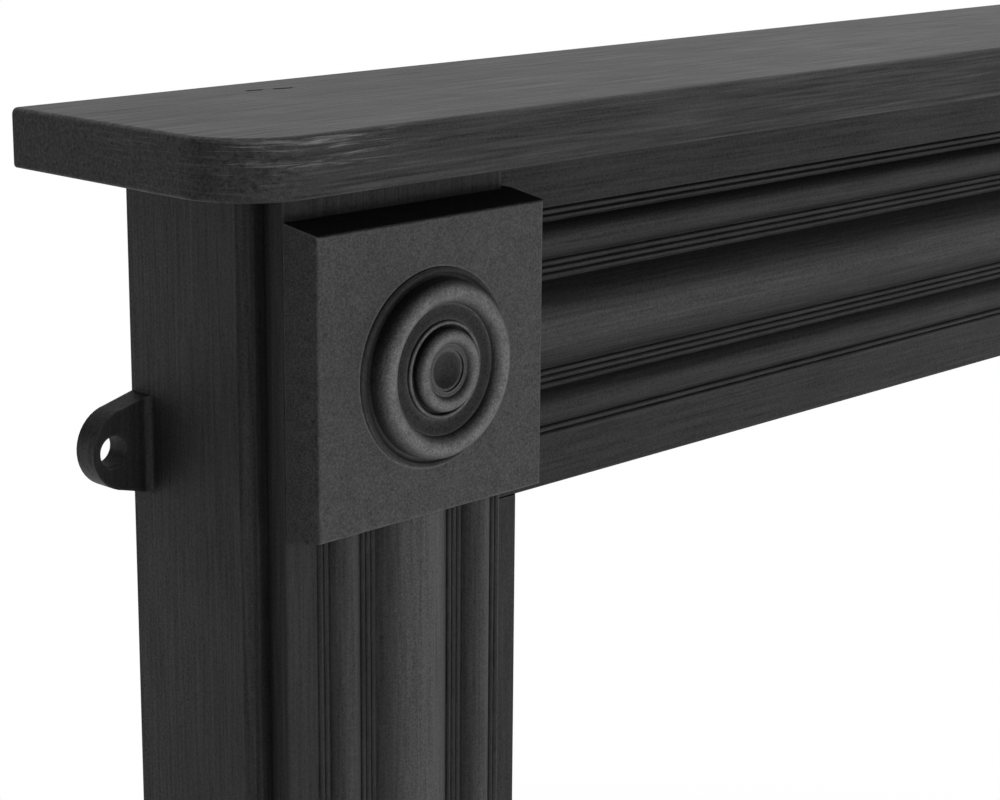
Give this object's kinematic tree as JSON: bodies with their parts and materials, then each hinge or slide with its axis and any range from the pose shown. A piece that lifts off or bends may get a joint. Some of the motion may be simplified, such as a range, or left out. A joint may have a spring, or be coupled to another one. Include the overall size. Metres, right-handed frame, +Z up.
{
  "type": "cast iron fireplace mantel surround",
  "caption": "Cast iron fire surround with reeded legs and frieze, turned bullseye corner blocks, a round-cornered shelf and cast wall-fixing lugs.",
  "frame": {"origin": "on the hearth, in the wall's plane, at the middle of the width", "axes": "+X along the shelf to the viewer's right, -Y out of the wall towards the room, +Z up"},
  "size_m": [1.393, 0.16, 1.179],
  "materials": {
    "iron_shelf": "blackleaded cast iron, rubbed to a low sheen",
    "iron_frieze": "blackleaded cast iron, rubbed to a low sheen",
    "iron_leg": "blackleaded cast iron, rubbed to a low sheen",
    "iron_block": "blackleaded cast iron, rubbed to a low sheen",
    "iron_plinth": "blackleaded cast iron, rubbed to a low sheen",
    "steel_bolt": "plain steel, dull",
    "steel_washer": "zinc-plated steel",
    "steel_nut": "zinc-plated steel"
  },
  "bodies": {
    "root": {"mantel_shelf": "iron_shelf", "frieze": "iron_frieze", "left_leg": "iron_leg", "right_leg": "iron_leg", "left_corner_block": "iron_block", "right_corner_block": "iron_block", "left_plinth": "iron_plinth", "right_plinth": "iron_plinth", "shelf_screws": "steel_bolt", "shelf_screw_washers": "steel_washer", "left_joint_bolts": "steel_bolt", "left_joint_washers": "steel_washer", "left_joint_nuts": "steel_nut", "right_joint_bolts": "steel_bolt", "right_joint_washers": "steel_washer", "right_joint_nuts": "steel_nut", "left_block_studs": "steel_bolt", "left_block_washers": "steel_washer", "left_block_nuts": "steel_nut", "right_block_studs": "steel_bolt", "right_block_washers": "steel_washer", "right_block_nuts": "steel_nut", "left_plinth_studs": "steel_bolt", "left_plinth_washers": "steel_washer", "left_plinth_nuts": "steel_nut", "right_plinth_studs": "steel_bolt", "right_plinth_washers": "steel_washer", "right_plinth_nuts": "steel_nut"}
  },
  "joints": []
}
